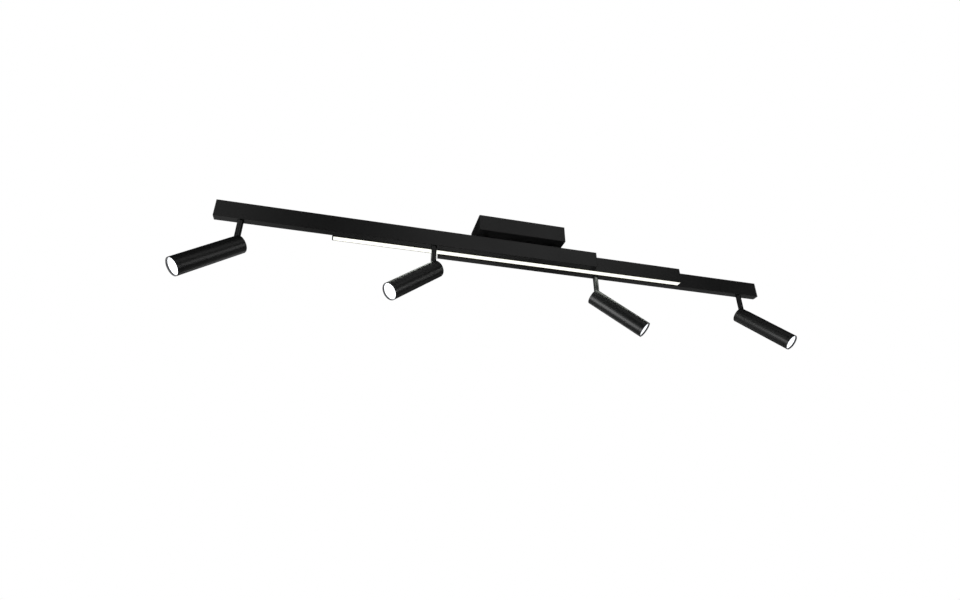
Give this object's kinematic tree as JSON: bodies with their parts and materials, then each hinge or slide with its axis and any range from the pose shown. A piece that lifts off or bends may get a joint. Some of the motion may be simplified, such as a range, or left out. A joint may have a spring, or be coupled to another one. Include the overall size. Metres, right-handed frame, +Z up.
{
  "type": "track lighting fixture",
  "caption": "Ceiling light with parallel black bars, a lit middle bar, outer bars that slide lengthwise, and cylindrical spotlights that swivel and tilt.",
  "frame": {"origin": "centre of the canopy on the ceiling plane, midway between the ceiling screws", "axes": "+X along the bars, +Z up towards the ceiling, +Y across the bars so that the front bar is at -Y"},
  "size_m": [1.7716, 0.1686, 0.3299],
  "materials": {
    "black_finish": "satin black powder coat",
    "black_aluminium": "satin black powder coat on aluminium",
    "zinc_steel": "bright zinc plate",
    "black_plastic": "moulded black acetal",
    "driver_white": "moulded white polycarbonate",
    "opal_lit": "satin opal acrylic, lit",
    "led_board": "white solder mask",
    "aluminium_bare": "machined",
    "mirror_coat": "metallised",
    "lens_lit": "frosted clear polycarbonate, lit"
  },
  "bodies": {
    "ceiling_unit": {"ceiling_plate": "zinc_steel", "canopy_cover": "black_finish", "cover_screws": "black_finish", "led_driver": "driver_white", "terminal_block": "driver_white", "hanger_nipples": "zinc_steel", "hanger_sleeves": "black_finish", "hanger_nuts": "zinc_steel", "slide_bridges": "zinc_steel", "glide_shoes": "black_plastic", "glide_screws": "zinc_steel", "middle_bar": "black_aluminium", "middle_bar_caps": "black_aluminium", "diffuser": "opal_lit", "led_strip": "led_board"},
    "front_bar": {"front_bar": "black_aluminium", "front_bar_caps": "black_aluminium", "front_bar_bushes": "black_plastic", "front_bar_stops": "zinc_steel"},
    "back_bar": {"back_bar": "black_aluminium", "back_bar_caps": "black_aluminium", "back_bar_bushes": "black_plastic", "back_bar_stops": "zinc_steel"},
    "spot_1_swivel": {"spot_1_stem": "black_finish", "spot_1_lock_nut": "zinc_steel"},
    "spot_1_head": {"spot_1_housing": "black_aluminium", "spot_1_pivot_pin": "zinc_steel", "spot_1_heat_sink": "aluminium_bare", "spot_1_led_module": "led_board", "spot_1_reflector": "mirror_coat", "spot_1_lens": "lens_lit", "spot_1_trim_ring": "black_aluminium"},
    "spot_2_swivel": {"spot_2_stem": "black_finish", "spot_2_lock_nut": "zinc_steel"},
    "spot_2_head": {"spot_2_housing": "black_aluminium", "spot_2_pivot_pin": "zinc_steel", "spot_2_heat_sink": "aluminium_bare", "spot_2_led_module": "led_board", "spot_2_reflector": "mirror_coat", "spot_2_lens": "lens_lit", "spot_2_trim_ring": "black_aluminium"},
    "spot_3_swivel": {"spot_3_stem": "black_finish", "spot_3_lock_nut": "zinc_steel"},
    "spot_3_head": {"spot_3_housing": "black_aluminium", "spot_3_pivot_pin": "zinc_steel", "spot_3_heat_sink": "aluminium_bare", "spot_3_led_module": "led_board", "spot_3_reflector": "mirror_coat", "spot_3_lens": "lens_lit", "spot_3_trim_ring": "black_aluminium"},
    "spot_4_swivel": {"spot_4_stem": "black_finish", "spot_4_lock_nut": "zinc_steel"},
    "spot_4_head": {"spot_4_housing": "black_aluminium", "spot_4_pivot_pin": "zinc_steel", "spot_4_heat_sink": "aluminium_bare", "spot_4_led_module": "led_board", "spot_4_reflector": "mirror_coat", "spot_4_lens": "lens_lit", "spot_4_trim_ring": "black_aluminium"}
  },
  "joints": [
    {"name": "front_bar_slide", "type": "slide", "parent": "ceiling_unit", "child": "front_bar", "axis": [1, 0, 0], "range_m": [0, 0.302]},
    {"name": "back_bar_slide", "type": "slide", "parent": "ceiling_unit", "child": "back_bar", "axis": [-1, 0, 0], "range_m": [0, 0.302]},
    {"name": "spot_1_turn", "type": "hinge", "parent": "front_bar", "child": "spot_1_swivel", "pos_m": [-0.776, -0.0257, -0.191], "axis": [0, 0, 1], "range_deg": [-175, 175]},
    {"name": "spot_1_tilt", "type": "hinge", "parent": "spot_1_swivel", "child": "spot_1_head", "pos_m": [-0.776, -0.0257, -0.191], "axis": [0.509, -0.8607, 0], "range_deg": [-41.4, 48.6]},
    {"name": "spot_2_turn", "type": "hinge", "parent": "front_bar", "child": "spot_2_swivel", "pos_m": [-0.26, -0.0257, -0.191], "axis": [0, 0, 1], "range_deg": [-175, 175]},
    {"name": "spot_2_tilt", "type": "hinge", "parent": "spot_2_swivel", "child": "spot_2_head", "pos_m": [-0.26, -0.0257, -0.191], "axis": [0.4226, -0.9063, 0], "range_deg": [-39.5, 50.5]},
    {"name": "spot_3_turn", "type": "hinge", "parent": "back_bar", "child": "spot_3_swivel", "pos_m": [0.26, 0.0257, -0.191], "axis": [0, 0, 1], "range_deg": [-175, 175]},
    {"name": "spot_3_tilt", "type": "hinge", "parent": "spot_3_swivel", "child": "spot_3_head", "pos_m": [0.26, 0.0257, -0.191], "axis": [0.4939, 0.8695, 0], "range_deg": [-42.7, 47.3]},
    {"name": "spot_4_turn", "type": "hinge", "parent": "back_bar", "child": "spot_4_swivel", "pos_m": [0.776, 0.0257, -0.191], "axis": [0, 0, 1], "range_deg": [-175, 175]},
    {"name": "spot_4_tilt", "type": "hinge", "parent": "spot_4_swivel", "child": "spot_4_head", "pos_m": [0.776, 0.0257, -0.191], "axis": [0.8211, 0.5707, 0], "range_deg": [-45.5, 44.5]}
  ]
}
